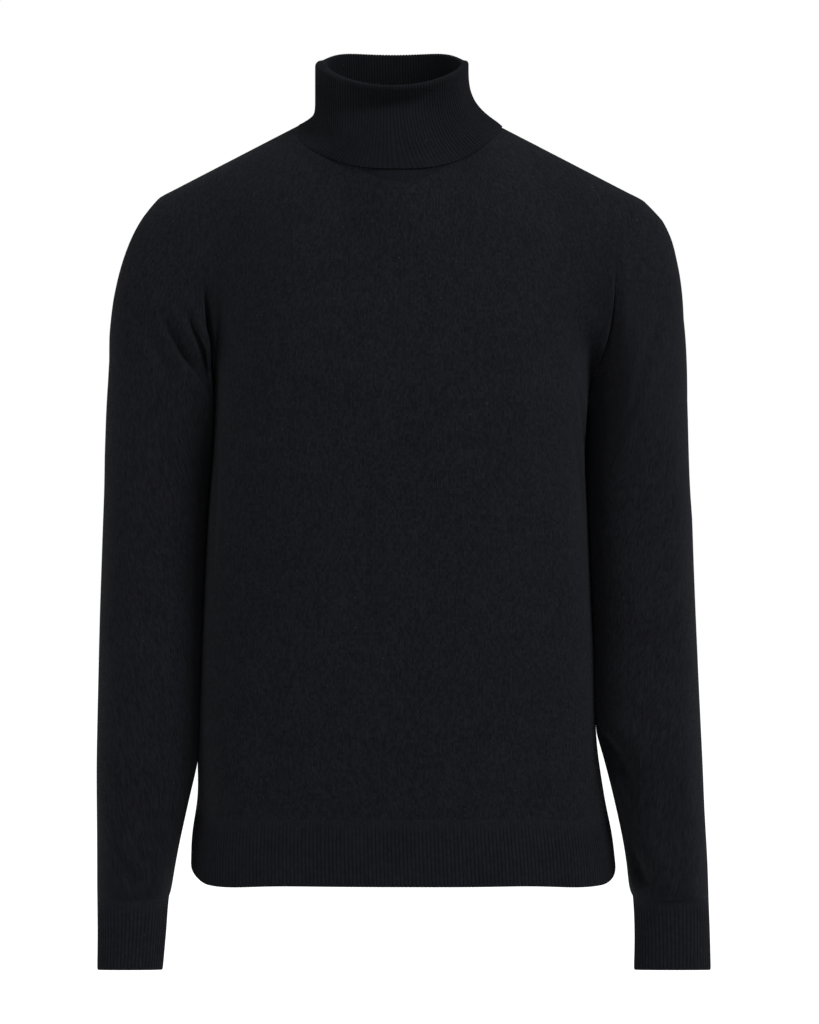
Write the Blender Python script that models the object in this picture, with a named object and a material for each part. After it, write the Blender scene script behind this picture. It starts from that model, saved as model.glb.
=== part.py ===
"""Fine-knit roll-neck sweater, in the hollow form that it keeps on a wearer.

Metres, +Z up. The front faces -Y, and the wearer's left arm is at +X. The origin is between the shoulders,
just under the neck, where the wearer carries the garment.

The sweater is knitted in pieces that are linked together: a front, a back, two set-in sleeves, and a roll
collar, which is one tube folded over. The hems of the body and of the sleeves are bands of rib. Each piece
is a wall of cloth, laid out as rows of points on one face and given its thickness along the cloth's normals.
"""

import math
from collections import namedtuple

import bmesh
import bpy
import numpy as np

# ---------------------------------------------------------------- cloth
JERSEY = 0.0018  # thickness of the plain knit
RIB = 0.0024  # thickness of the rib knit
SEAM = 0.0004  # gap between two linked pieces
SEAM_FLAT = 0.90  # cosine of half the bend at a seam, up to which both walls end on one common line
SEAM_SHARP = 0.50  # and from which each wall is half turned back to its own direction
WEAK = 0.5  # least sine of the angle between a seam and its normal that tells which way is across

# ---------------------------------------------------------------- body
HEM = -0.6645  # height of the lower edge
RIB_TOP = -0.6020  # height where the hem's rib ends
UNDERARM = -0.2450  # height of the underarm points
UNDERARM_POINT = np.array([0.1680, 0.006, UNDERARM])
SHOULDER_POINT = np.array([0.2170, 0.010, -0.0575])  # where the shoulder seam meets the sleeve
NECK_POINT = np.array([0.0700, 0.004, 0.0175])  # where it meets the collar
NECK_FRONT = np.array([0.0, -0.0960, -0.0500])  # middle of the neck seam at the front
NECK_BACK = np.array([0.0, 0.0640, 0.0120])
CHEST_FULL = 1.6  # how far up below the collar the cloth stays as full as at the underarms
SHOULDER_ROUND = 0.8  # how fully the cloth rounds over beside the neck, as a share of the shoulder's end
ARMHOLE_FRONT = 0.060  # how far the armhole bows forwards, and backwards
ARMHOLE_BACK = 0.064

Section = namedtuple("Section", "height half_width sway front back square")
# Level sections: half width, sideways shift, reach before and behind the middle, squareness of the oval.
BODY = (
    Section(-0.6645, 0.1895, 0.0015, 0.1090, 0.1080, 2.7),
    Section(-0.6400, 0.1880, 0.0010, 0.1100, 0.1090, 2.7),
    Section(-0.6020, 0.1815, -0.0005, 0.1120, 0.1080, 2.7),
    Section(-0.5600, 0.1796, -0.0025, 0.1150, 0.1040, 2.7),
    Section(-0.4540, 0.1758, -0.0027, 0.1185, 0.0965, 2.6),
    Section(-0.3500, 0.1711, -0.0026, 0.1225, 0.0985, 2.6),
    Section(-0.2700, 0.1671, -0.0012, 0.1240, 0.1055, 2.5),
    Section(UNDERARM, 0.1680, 0.0, 0.1235, 0.1075, 2.5),
)

# ---------------------------------------------------------------- sleeves
CAP_END = -0.3300  # height of the highest level ring
CUFF_TOP = -0.6820
CUFF_END = -0.7450
CAP_DROOP = 0.50  # how far the cap turns down as it leaves the armhole
CAP_BACK = 0.30  # share of the body's turn backwards or forwards that the cap keeps
CAP_PULL = 0.95  # how long the cap keeps the direction that it leaves in
CAP_STEP = 0.01  # length over which the sleeve's own direction below the cap is taken

Ring = namedtuple("Ring", "height outer inner middle depth square")
# Level rings: outermost and innermost distance from the body's middle, place and half size in depth.
RIGHT_SLEEVE = (
    Ring(-0.3300, 0.2672, 0.1744, 0.0020, 0.0600, 2.3),
    Ring(-0.4500, 0.2710, 0.1796, -0.0060, 0.0570, 2.3),
    Ring(-0.5200, 0.2720, 0.1822, -0.0140, 0.0535, 2.2),
    Ring(-0.5600, 0.2722, 0.1845, -0.0180, 0.0510, 2.2),
    Ring(-0.6000, 0.2718, 0.1905, -0.0220, 0.0475, 2.2),
    Ring(-0.6400, 0.2712, 0.1992, -0.0260, 0.0430, 2.2),
    Ring(-0.6820, 0.2706, 0.2068, -0.0290, 0.0365, 2.2),
    Ring(-0.7150, 0.2702, 0.2094, -0.0310, 0.0325, 2.2),
    Ring(-0.7450, 0.2704, 0.2120, -0.0325, 0.0310, 2.2),
)
LEFT_SLEEVE = (
    Ring(-0.3300, 0.2612, 0.1696, 0.0020, 0.0600, 2.3),
    Ring(-0.4500, 0.2655, 0.1742, -0.0060, 0.0570, 2.3),
    Ring(-0.5200, 0.2683, 0.1776, -0.0140, 0.0535, 2.2),
    Ring(-0.5600, 0.2698, 0.1822, -0.0180, 0.0510, 2.2),
    Ring(-0.6000, 0.2712, 0.1918, -0.0220, 0.0475, 2.2),
    Ring(-0.6400, 0.2730, 0.2002, -0.0260, 0.0430, 2.2),
    Ring(-0.6820, 0.2742, 0.2068, -0.0290, 0.0365, 2.2),
    Ring(-0.7150, 0.2753, 0.2082, -0.0310, 0.0325, 2.2),
    Ring(-0.7450, 0.2760, 0.2076, -0.0325, 0.0310, 2.2),
)

# ---------------------------------------------------------------- collar
Loop = namedtuple("Loop", "front back half_width side_height square")
# Loops round the neck: the crest of the fold, and the free edge of the layer that is turned down.
CREST = Loop(np.array([-0.0080, -0.0790, 0.0340]), np.array([-0.0088, 0.0500, 0.0775]), 0.0664, 0.0680, 2.0)
EDGE = Loop(np.array([-0.0010, -0.1060, -0.0380]), np.array([0.0, 0.0810, 0.0010]), 0.0930, 0.0098, 2.35)
TURN_GAP = 0.0014  # between the two layers at the fold
STAND_SETTLE = 2.2  # how soon the stand comes upright above its seam
FLARE_MIDDLE = 1.8  # how late the turned-down layer spreads, at the front and back
FLARE_LEFT = 2.7
FLARE_RIGHT = 6.0
SQUARE_EDGE = 1.3  # how the free edge drops from the shoulders to the front
SLANT_EDGE = 0.5  # how much sooner it drops on the right

# ---------------------------------------------------------------- how finely the cloth is divided
COLUMNS = 24  # across the front or the back
NECK_COLUMNS = 12  # of those, the ones that end at the collar
LOW_ROWS = 8  # from the rib to the underarm
HIGH_ROWS = 10  # from the underarm to the shoulder, which is half of the way round a sleeve
BAND_ROWS = 2  # in a band of rib
CAP_ROWS = 6
ARM_ROWS = 8
STAND_ROWS = 5
TURN_ROWS = 3  # over the collar's fold
FALL_ROWS = 7
FINE = 400  # points of a curve before it is divided evenly

BLACK_JERSEY = (0.0075, 0.0078, 0.0095, 1.0)
BLACK_RIB = (0.0070, 0.0072, 0.0088, 1.0)
ROUGHNESS = 0.9
SHARP = math.radians(50)  # bend from which an edge is shaded sharp

# ring: its rows close on themselves. corner: the row where the side edges of an open piece turn a corner,
# or its last row.
Piece = namedtuple("Piece", "name rows thickness ring corner")


# ---------------------------------------------------------------- curves
def hermite(start, start_slope, end, end_slope, t):
    """The cubic from start to end that has those slopes."""
    return (
        (2 * t**3 - 3 * t**2 + 1) * start
        + (t**3 - 2 * t**2 + t) * start_slope
        + (3 * t**2 - 2 * t**3) * end
        + (t**3 - t**2) * end_slope
    )


def between(table, column, height):
    """A column's value at a height, on a smooth curve through the table's rows."""
    rows = sorted(table, key=lambda row: row.height)
    at = np.array([row.height for row in rows])
    value = np.array([getattr(row, column) for row in rows])
    slope = np.gradient(value, at)
    i = min(max(int(np.searchsorted(at, height)) - 1, 0), len(at) - 2)
    step = at[i + 1] - at[i]
    return hermite(value[i], slope[i] * step, value[i + 1], slope[i + 1] * step, (height - at[i]) / step)


def unit(vectors):
    return vectors / np.maximum(np.linalg.norm(vectors, axis=-1, keepdims=True), 1e-12)


def divide(line, count):
    """count + 1 points spaced evenly along a line of points."""
    run = np.concatenate([[0], np.cumsum(np.linalg.norm(np.diff(line, axis=0), axis=1))])
    at = np.linspace(0, run[-1], count + 1)
    return np.stack([np.interp(at, run, line[:, k]) for k in range(3)], axis=1)


def oval(turn, square):
    """Sine and cosine of a turn, squared off as on a superellipse."""
    sine, cosine = np.sin(turn), np.cos(turn)
    power = 2 / square
    return np.sign(sine) * abs(sine) ** power, np.sign(cosine) * abs(cosine) ** power


# ---------------------------------------------------------------- the body's surface
def body_section(height, face):
    """The front (face -1) or back (face 1) of a level section, from the right side seam to the left one."""
    across, ahead = oval(np.linspace(-math.pi / 2, math.pi / 2, FINE), between(BODY, "square", height))
    reach = between(BODY, "front" if face < 0 else "back", height)
    line = np.zeros((FINE, 3))
    line[:, 0] = between(BODY, "half_width", height) * across + between(BODY, "sway", height)
    line[:, 1] = UNDERARM_POINT[1] + (face * reach - UNDERARM_POINT[1]) * ahead
    line[:, 2] = height
    return divide(line, COLUMNS)


def neck_seam(turn):
    """The collar's seam, from the middle of the front at turn 0 to the middle of the back at half a turn."""
    ahead = np.cos(turn)[:, None]
    middle = np.where(ahead > 0, NECK_FRONT, NECK_BACK)
    line = NECK_POINT + (middle - NECK_POINT) * abs(ahead) ** np.array([1.0, 1.0, 1.3])
    line[:, 0] = NECK_POINT[0] * np.sin(turn)
    return line


def top_edge(face):
    """The body's upper edge: shoulder seam, neck seam and shoulder seam, from right to left."""
    middle = 0 if face < 0 else math.pi
    neck = divide(neck_seam(np.linspace(middle, math.pi / 2, FINE)), NECK_COLUMNS // 2)
    shoulder = divide(np.array([NECK_POINT, SHOULDER_POINT]), (COLUMNS - NECK_COLUMNS) // 2)
    half = np.concatenate([neck, shoulder[1:]])
    return np.concatenate([half[:0:-1] * [-1, 1, 1], half])


def armhole(face, t):
    """A point on the front or back of the left armhole, from the underarm at t = 0 to the shoulder at 1."""
    rise = (1 - math.cos(math.pi * t)) / 2
    point = UNDERARM_POINT + (SHOULDER_POINT - UNDERARM_POINT) * np.array([rise**1.3, rise, rise])
    point[1] += face * (ARMHOLE_FRONT if face < 0 else ARMHOLE_BACK) * math.sin(math.pi * t)
    return point


def upper_body(face):
    """Rows from the underarm to the shoulder. The cloth rounds over towards the shoulder seams, it is
    straighter below the collar, and its outer edges follow the armholes."""
    low, high = body_section(UNDERARM, face), top_edge(face)
    place = np.linspace(-1, 1, COLUMNS + 1)
    over = np.clip(abs(place) * COLUMNS / NECK_COLUMNS, 0.35 if face > 0 else 0.0, 1)
    over = over * over * (3 - 2 * over) * (SHOULDER_ROUND + (1 - SHOULDER_ROUND) * abs(place))
    rows = []
    for t in np.linspace(0, 1, HIGH_ROWS + 1):
        rise = (1 - over) * t + over * math.sin(t * math.pi / 2)
        keep = (1 - over) * (1 - t**CHEST_FULL) + over * math.cos(t * math.pi / 2)
        row = np.empty_like(low)
        row[:, 0] = low[:, 0] + (high[:, 0] - low[:, 0]) * t
        row[:, 1] = high[:, 1] + (low[:, 1] - high[:, 1]) * keep
        row[:, 2] = low[:, 2] + (high[:, 2] - low[:, 2]) * rise
        edge = armhole(face, t)
        pull = (place**4)[:, None]
        right = np.where(place[:, None] < 0, pull, 0) * (edge * [-1, 1, 1] - row[0])
        left = np.where(place[:, None] > 0, pull, 0) * (edge - row[-1])
        rows.append(row + right + left)
    return np.array(rows)


def body_panel(face):
    """Rows of the front or the back, from the top of its rib to the shoulder seams."""
    heights = np.linspace(RIB_TOP, UNDERARM, LOW_ROWS + 1)[:-1]
    return np.concatenate([[body_section(height, face) for height in heights], upper_body(face)])


def hem_band(face):
    return np.array([body_section(height, face) for height in np.linspace(HEM, RIB_TOP, BAND_ROWS + 1)])


# ---------------------------------------------------------------- the sleeves' surface
def sleeve_ring(table, height, side):
    """A level ring, from its outermost line round the front to the innermost and round the back again."""
    outer, inner = between(table, "outer", height), between(table, "inner", height)
    middle = between(table, "middle", height)
    sine, cosine = oval(np.linspace(0, math.pi, FINE), between(table, "square", height))
    half = np.zeros((FINE, 3))
    half[:, 0] = (outer + inner) / 2 + (outer - inner) / 2 * cosine
    half[:, 1] = middle - between(table, "depth", height) * sine
    half[:, 2] = height
    front = divide(half, HIGH_ROWS)
    back = front[-2:0:-1] * [1, -1, 1] + [0, 2 * middle, 0]
    return np.concatenate([front, back]) * [side, 1, 1]


def sleeve(table, side, front, back):
    """Rows of a sleeve from its armhole, on the body's panels front and back, to the top of its cuff."""
    edge, inside = (-1, -2) if side > 0 else (0, 1)
    seam = np.concatenate([front[LOW_ROWS:, edge][::-1], back[LOW_ROWS + 1 : -1, edge]])
    within = np.concatenate([front[LOW_ROWS:, inside][::-1], back[LOW_ROWS + 1 : -1, inside]])
    leave = unit(unit(seam - within) * [1, CAP_BACK, 1] - [0, 0, CAP_DROOP])
    ring = sleeve_ring(table, CAP_END, side)
    onward = unit(sleeve_ring(table, CAP_END - CAP_STEP, side) - ring)
    reach = CAP_PULL * np.linalg.norm(ring - seam, axis=1, keepdims=True)
    cap = [hermite(seam, leave * reach, ring, onward * reach, t) for t in np.linspace(0, 1, CAP_ROWS + 1)]
    arm = [sleeve_ring(table, height, side) for height in np.linspace(CAP_END, CUFF_TOP, ARM_ROWS + 1)[1:]]
    return np.array(cap + arm)


def cuff(table, side):
    heights = np.linspace(CUFF_TOP, CUFF_END, BAND_ROWS + 1)
    return np.array([sleeve_ring(table, height, side) for height in heights])


# ---------------------------------------------------------------- the collar's surface
def loop_points(loop, turn):
    """Points round the neck, from the middle of the front at turn 0, towards the wearer's left."""
    side, ahead = oval(turn, loop.square)
    middle = (loop.front + loop.back) / 2
    line = middle + (loop.front - loop.back) / 2 * ahead[:, None]
    line[:, 0] += loop.half_width * side
    line[:, 2] += (loop.side_height - middle[2]) * side**2
    return line


def settled(t):
    return 1 - (1 - t) ** STAND_SETTLE


def collar(front, back):
    """Rows of the collar's hidden face: up the outside of the stand, over inside the fold, and down the
    inside of the layer that is turned down. Both panels give the neck seam that it starts from."""
    right = (COLUMNS - NECK_COLUMNS) // 2
    left = COLUMNS - right
    seam = np.concatenate([front[-1, right:left], back[-1, left:right:-1]])
    turn = np.linspace(-math.pi / 2, 3 * math.pi / 2, 2 * NECK_COLUMNS + 1)[:-1]
    sine = np.sin(turn)
    out = unit(np.stack([sine, -np.cos(turn), 0 * turn], axis=1))
    up = np.array([0, 0, 1])

    crest = loop_points(CREST, turn) - up * (RIB + TURN_GAP / 2)
    stand_top, fall_top = crest - out * TURN_GAP / 2, crest + out * TURN_GAP / 2
    edge = loop_points(EDGE, turn)
    ahead = np.clip(np.cos(turn), 0, 1)
    drop = (EDGE.front[2] - EDGE.side_height) * ahead ** (SQUARE_EDGE + SLANT_EDGE * sine)
    edge[:, 2] = np.where(ahead > 0, EDGE.side_height + drop, edge[:, 2])
    edge -= (out + up) * RIB / math.sqrt(2)

    stand = [
        seam + (stand_top - seam) * np.array([settled(t), settled(t), t])
        for t in np.linspace(0, 1, STAND_ROWS + 1)
    ]
    fold = [
        crest + (up * math.sin(angle) - out * math.cos(angle)) * TURN_GAP / 2
        for angle in np.linspace(0, math.pi, TURN_ROWS + 1)[1:]
    ]
    side_flare = np.where(sine > 0, FLARE_LEFT, FLARE_RIGHT)
    flare = FLARE_MIDDLE + (side_flare - FLARE_MIDDLE) * sine**2
    fall = []
    for step in np.linspace(0, 1, FALL_ROWS + 1)[1:]:
        down = math.sin(step * math.pi / 2)
        row = fall_top + (edge - fall_top) * down
        row[:, :2] = fall_top[:, :2] + (edge - fall_top)[:, :2] * (down ** flare)[:, None]
        fall.append(row)
    return np.array(stand + fold + fall)


# ---------------------------------------------------------------- from surfaces to walls of cloth
def point_key(point):
    return tuple(np.round(point * 1e6).astype(int))


def face_normals(rows, ring):
    """The faces as index tuples, and at each point their normals, summed by the angle of their corners."""
    count, width = rows.shape[:2]
    points = rows.reshape(-1, 3)
    faces = []
    for r in range(count - 1):
        for c in range(width if ring else width - 1):
            d = (c + 1) % width
            faces.append((r * width + c, r * width + d, (r + 1) * width + d, (r + 1) * width + c))
    total = np.zeros_like(points)
    for face in faces:
        corners = points[list(face)]
        normal = unit(np.cross(corners[2] - corners[0], corners[3] - corners[1]))
        ahead = unit(np.roll(corners, -1, axis=0) - corners)
        angle = np.arccos((ahead * -np.roll(ahead, 1, axis=0)).sum(axis=1))
        total[list(face)] += normal * angle[:, None]
    return faces, total


def shared_normals(pieces):
    """The cloth's normal at every point, the same for all the pieces that meet there."""
    normals = {}
    for piece in pieces:
        _, total = face_normals(piece.rows, piece.ring)
        for point, normal in zip(piece.rows.reshape(-1, 3), total):
            key = point_key(point)
            normals[key] = normals.get(key, 0) + normal
    return normals


def part_edge(outer, rows, own, shared, edge, inside):
    """Moves the points of an edge off their seam, square to the plane that halves the bend there. edge and
    inside are indexes of the edge's points and of their neighbours in the piece."""
    along = unit(np.gradient(rows[edge], axis=0))
    across = np.cross(along, shared[edge])
    weak = np.linalg.norm(across, axis=1, keepdims=True) < WEAK
    across = unit(np.where(weak, np.cross(along, own[edge]), across))
    away = unit(rows[inside] - rows[edge]) - own[edge]
    outer[edge] += across * np.sign((across * away).sum(axis=1, keepdims=True)) * SEAM / 2


def wall(piece, normals):
    """Points and faces of the closed wall behind a piece's rows, drawn back from its seams."""
    rows, ring = piece.rows, piece.ring
    count, width = rows.shape[:2]
    faces, total = face_normals(rows, ring)
    own = unit(total).reshape(rows.shape)
    shared = np.array([normals[point_key(point)] for point in rows.reshape(-1, 3)])
    shared = unit(shared).reshape(rows.shape)
    outer = rows.copy()
    everywhere, low, high = slice(None), slice(0, piece.corner + 1), slice(piece.corner, None)
    for edge, inside in ((0, 1), (-1, -2)):
        part_edge(outer, rows, own, shared, (edge, everywhere), (inside, everywhere))
        if not ring:
            part_edge(outer, rows, own, shared, (low, edge), (low, inside))
        if 0 < piece.corner < count - 1:
            part_edge(outer, rows, own, shared, (high, edge), (high, inside))
    bend = (own * shared).sum(axis=2, keepdims=True)
    inward = unit(shared + own * np.clip((SEAM_FLAT - bend) / (SEAM_FLAT - SEAM_SHARP), 0, 1))
    inner = outer - inward * piece.thickness / (own * inward).sum(axis=2, keepdims=True)
    outer, inner = outer.reshape(-1, 3), inner.reshape(-1, 3)
    half = len(outer)
    solid = list(faces)
    solid += [tuple(half + i for i in reversed(face)) for face in faces]
    first, last = list(range(width)), list(range((count - 1) * width, count * width))
    if ring:
        edges = [first + first[:1], (last + last[:1])[::-1]]
    else:
        up_left, up_right = list(range(0, half, width)), list(range(width - 1, half, width))
        edges = [first + up_right[1:] + last[-2::-1] + up_left[-2::-1]]
    for edge in edges:
        solid += [(b, a, half + a, half + b) for a, b in zip(edge, edge[1:])]
    return np.concatenate([outer, inner]), solid


def knit_material(name, color):
    material = bpy.data.materials.new(name)
    material.use_nodes = True
    shader = material.node_tree.nodes["Principled BSDF"]
    shader.inputs["Base Color"].default_value = color
    shader.inputs["Roughness"].default_value = ROUGHNESS
    shader.inputs["Metallic"].default_value = 0.0
    return material


def make_object(piece, normals, material):
    points, faces = wall(piece, normals)
    mesh = bpy.data.meshes.new(piece.name)
    mesh.from_pydata([tuple(point) for point in points], [], faces)
    shape = bmesh.new()
    shape.from_mesh(mesh)
    bmesh.ops.recalc_face_normals(shape, faces=shape.faces)
    shape.to_mesh(mesh)
    shape.free()
    mesh.shade_smooth()
    mesh.set_sharp_from_angle(angle=SHARP)
    mesh.materials.append(material)
    bpy.context.collection.objects.link(bpy.data.objects.new(piece.name, mesh))


# ---------------------------------------------------------------- the sweater
for item in list(bpy.data.objects):
    bpy.data.objects.remove(item, do_unlink=True)

front, back = body_panel(-1), body_panel(1)
# Rows run so that the cloth's outer face is on the same side of every piece.
jersey_pieces = [
    Piece("front_panel", front, JERSEY, False, LOW_ROWS),
    Piece("back_panel", back[:, ::-1], JERSEY, False, LOW_ROWS),
    Piece("left_sleeve", sleeve(LEFT_SLEEVE, 1, front, back), JERSEY, True, 0),
    Piece("right_sleeve", sleeve(RIGHT_SLEEVE, -1, front, back)[:, ::-1], JERSEY, True, 0),
]
rib_pieces = [
    Piece("front_hem_rib", hem_band(-1), RIB, False, BAND_ROWS),
    Piece("back_hem_rib", hem_band(1)[:, ::-1], RIB, False, BAND_ROWS),
    Piece("left_cuff", cuff(LEFT_SLEEVE, 1), RIB, True, 0),
    Piece("right_cuff", cuff(RIGHT_SLEEVE, -1)[:, ::-1], RIB, True, 0),
    Piece("roll_collar", collar(front, back), RIB, True, 0),
]
cloth_normals = shared_normals(jersey_pieces + rib_pieces)
jersey = knit_material("black_jersey", BLACK_JERSEY)
rib = knit_material("black_rib", BLACK_RIB)
for piece in jersey_pieces:
    make_object(piece, cloth_normals, jersey)
for piece in rib_pieces:
    make_object(piece, cloth_normals, rib)
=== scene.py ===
"""Looks of a fine black roll-neck sweater, in the hollow form that it keeps on a wearer.

Metres, +Z up. The front faces -Y, and the wearer's left arm is at +X.
"""

import math
from collections import namedtuple

import bpy
import numpy as np
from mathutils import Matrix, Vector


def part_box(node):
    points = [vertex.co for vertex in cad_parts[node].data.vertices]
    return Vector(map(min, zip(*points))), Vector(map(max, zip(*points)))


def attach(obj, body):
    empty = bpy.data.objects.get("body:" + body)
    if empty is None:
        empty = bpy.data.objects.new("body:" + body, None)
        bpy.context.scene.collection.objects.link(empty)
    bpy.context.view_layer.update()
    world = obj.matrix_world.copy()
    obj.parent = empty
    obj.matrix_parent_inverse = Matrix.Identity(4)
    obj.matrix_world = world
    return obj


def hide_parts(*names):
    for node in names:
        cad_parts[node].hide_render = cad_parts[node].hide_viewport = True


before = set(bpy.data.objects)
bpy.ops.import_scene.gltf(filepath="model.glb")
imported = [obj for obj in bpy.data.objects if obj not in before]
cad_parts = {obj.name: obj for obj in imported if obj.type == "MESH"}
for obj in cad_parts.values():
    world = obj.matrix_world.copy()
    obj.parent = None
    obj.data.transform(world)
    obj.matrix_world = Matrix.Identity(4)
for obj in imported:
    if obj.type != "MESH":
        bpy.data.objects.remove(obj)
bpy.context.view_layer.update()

# ---------------------------------------------------------------- front and back
# The body is a front and a back of plain jersey in fine black wool, each knitted to shape at the shoulders,
# armholes and neck. They are linked down the sides and along the shoulders, with the seams turned in.

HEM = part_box("front_hem_rib")[0][2]
RIB_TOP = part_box("front_hem_rib")[1][2] - 0.0035
JERSEY = 0.0018
SEAM_GAP = 0.00006
KNIT_GAP = 0.00001  # where the plain knit runs on into rib
SEAM_DIP = 0.0003  # how far a linked edge sinks below the cloth beside it
UNDERARM_POINT = np.array([0.1680, 0.006, -0.2450])
SHOULDER_POINT = np.array([0.2170, 0.010, -0.0575])
NECK_POINT = np.array([0.0700, 0.004, 0.0175])
NECK_FRONT = np.array([0.0, -0.0960, -0.0500])
NECK_BACK = np.array([0.0, 0.0640, 0.0120])
CHEST_FULL = 1.6  # how far up below the collar the cloth stays as full as at the underarms
SHOULDER_ROUND = 0.8  # how round the cloth turns over at the middle of the neckline
NECK_FADE = 14  # how many columns the neckline's corners spread over, at the underarms
ARMHOLE_FRONT = 0.060  # how far the armhole bows forwards, and backwards
ARMHOLE_BACK = 0.064

HEM_DROP = 0.0012  # how far the hem hangs down everywhere, and near the sides
SIDE_DROP = 0.0034
SEAM_DRAW = 0.0125  # how far each side seam draws it up
ARMHOLE_CURVE = {-1: 3.4, 1: 1.15}  # how deep each armhole is cut in below the shoulder, right and left
ARMHOLE_SWING = {-1: 0.0, 1: 0.16}  # how far its edge swings out and in again as it hangs

CREASE_TOP = {-1: -0.1320, 1: -0.1040}  # by side, right and left
CREASE_FRONT = {-1: 0.0190, 1: 0.0085}  # how deep each crease is in front, and both behind
CREASE_BACK = 0.0065
BODY_CREASE = {-1: 0.0085, 1: 0.0058}  # half width on the body's side of the seam
SLEEVE_CREASE = {-1: 0.0080, 1: 0.0090}  # and on the sleeve's side
CREASE_LEAN = {-1: -0.25, 1: -0.60}  # how far each crease slides towards the wearer's right as it sinks
RIGHT_RAISE = 0.0026  # how much higher the right shoulder is

# How far the outside of each sleeve stands out from its plain curve, by height: the head is rounder, and the
# upper arm falls in below it.
SLEEVE_HEADS = {
    1: ((-0.050, 0.0), (-0.0765, 0.0048), (-0.0945, 0.0034), (-0.1125, 0.0010), (-0.135, -0.0010),
        (-0.165, -0.0036), (-0.240, -0.0036), (-0.300, -0.0015), (-0.345, 0.0)),
    -1: ((-0.050, 0.0), (-0.0765, 0.0016), (-0.0945, 0.0016), (-0.150, 0.0010), (-0.180, 0.0),
         (-0.2025, -0.0018), (-0.220, -0.0018), (-0.250, -0.0009), (-0.290, 0.0)),
}

COLUMNS = 140  # across the front, and across the back
NECK_COLUMNS = 70  # those of them on the neckline
LOW_ROWS = 128  # below the underarms
HIGH_ROWS = 80
FINE = 2400  # points on a curve before it is divided evenly

Section = namedtuple("Section", "height half_width sway front back square")
BODY = (
    Section(-0.6645, 0.1910, 0.0030, 0.1090, 0.1080, 2.7),
    Section(-0.6400, 0.1891, 0.0021, 0.1100, 0.1090, 2.7),
    Section(-0.6020, 0.1828, 0.0008, 0.1120, 0.1080, 2.7),
    Section(-0.5600, 0.1796, -0.0025, 0.1150, 0.1040, 2.7),
    Section(-0.4540, 0.1758, -0.0027, 0.1185, 0.0965, 2.6),
    Section(-0.3500, 0.1711, -0.0026, 0.1225, 0.0985, 2.6),
    Section(-0.2700, 0.1671, -0.0012, 0.1240, 0.1055, 2.5),
    Section(-0.2450, 0.1680, 0.0, 0.1235, 0.1075, 2.5),
)

# Slow waves of the hanging cloth: waves round the body, where they start, how they lean, how deep they are,
# and the height where they are deepest, with how far they reach from it.
Wave = namedtuple("Wave", "count start lean depth height reach")
BODY_WAVES = (
    Wave(7, 0.4, 2.1, 0.0010, -0.640, 0.110),
    Wave(11, 1.9, -3.0, 0.0007, -0.600, 0.090),
    Wave(5, 2.6, 5.2, 0.0011, -0.450, 0.120),
    Wave(9, 0.9, -6.0, 0.0006, -0.400, 0.090),
)

# Folds, placed as seen from the front (face -1) or the back (1): the points that the trough passes, as x and
# z, its depth and half width, and how far it slides towards the wearer's right as it sinks. A negative depth
# is a ridge.
Fold = namedtuple("Fold", "face depth width points slide", defaults=(0.0,))
FRONT_FOLDS = (
    Fold(-1, 0.0014, 0.0050, ((-0.1620, -0.262), (-0.1630, -0.330), (-0.1660, -0.400))),
    Fold(-1, 0.0024, 0.0045, ((0.1539, -0.226), (0.1620, -0.252), (0.1640, -0.282))),
    Fold(-1, 0.0014, 0.0060, ((0.1500, -0.262), (0.1590, -0.300), (0.1620, -0.345))),
    Fold(-1, 0.0018, 0.0110, ((-0.1760, -0.150), (-0.1540, -0.186), (-0.1250, -0.232))),
    Fold(-1, 0.0014, 0.0110, ((0.1840, -0.145), (0.1560, -0.176), (0.1260, -0.214))),
    Fold(-1, 0.0010, 0.0140, ((-0.1600, -0.515), (-0.1150, -0.545), (-0.0750, -0.556))),
    Fold(-1, 0.0011, 0.0150, ((0.1650, -0.475), (0.1300, -0.512), (0.0850, -0.530))),
)
BACK_FOLDS = (
    Fold(1, 0.0030, 0.0110, ((-0.1700, -0.185), (-0.1360, -0.240), (-0.0850, -0.268))),
    Fold(1, 0.0032, 0.0120, ((0.1720, -0.175), (0.1440, -0.245), (0.0950, -0.288))),
    Fold(1, 0.0022, 0.0100, ((-0.1640, -0.270), (-0.1350, -0.315), (-0.0900, -0.340))),
    Fold(1, 0.0018, 0.0060, ((-0.1620, -0.262), (-0.1630, -0.330), (-0.1660, -0.440))),
    Fold(1, 0.0018, 0.0060, ((0.1600, -0.262), (0.1620, -0.340), (0.1640, -0.420))),
    Fold(1, 0.0026, 0.0130, ((-0.1560, -0.395), (-0.1000, -0.432), (-0.0350, -0.440))),
    Fold(1, 0.0028, 0.0120, ((0.1560, -0.415), (0.1080, -0.455), (0.0500, -0.478))),
    Fold(1, 0.0016, 0.0100, ((-0.1000, -0.462), (-0.0400, -0.484), (0.0200, -0.480))),
    Fold(1, 0.0014, 0.0110, ((-0.0550, -0.058), (0.0, -0.068), (0.0520, -0.060))),
)


def hermite(start, start_slope, end, end_slope, t):
    return (
        (2 * t**3 - 3 * t**2 + 1) * start
        + (t**3 - 2 * t**2 + t) * start_slope
        + (3 * t**2 - 2 * t**3) * end
        + (t**3 - t**2) * end_slope
    )


def between(table, column, height):
    """A column's value at a height, on a smooth curve through the table's rows."""
    rows = sorted(table, key=lambda row: row.height)
    at = np.array([row.height for row in rows])
    value = np.array([getattr(row, column) for row in rows])
    slope = np.gradient(value, at)
    i = min(max(int(np.searchsorted(at, height)) - 1, 0), len(at) - 2)
    step = at[i + 1] - at[i]
    return hermite(value[i], slope[i] * step, value[i + 1], slope[i + 1] * step, (height - at[i]) / step)


def unit(vectors):
    return vectors / np.maximum(np.linalg.norm(vectors, axis=-1, keepdims=True), 1e-12)


def smooth(t):
    t = np.clip(t, 0, 1)
    return t * t * (3 - 2 * t)


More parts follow.
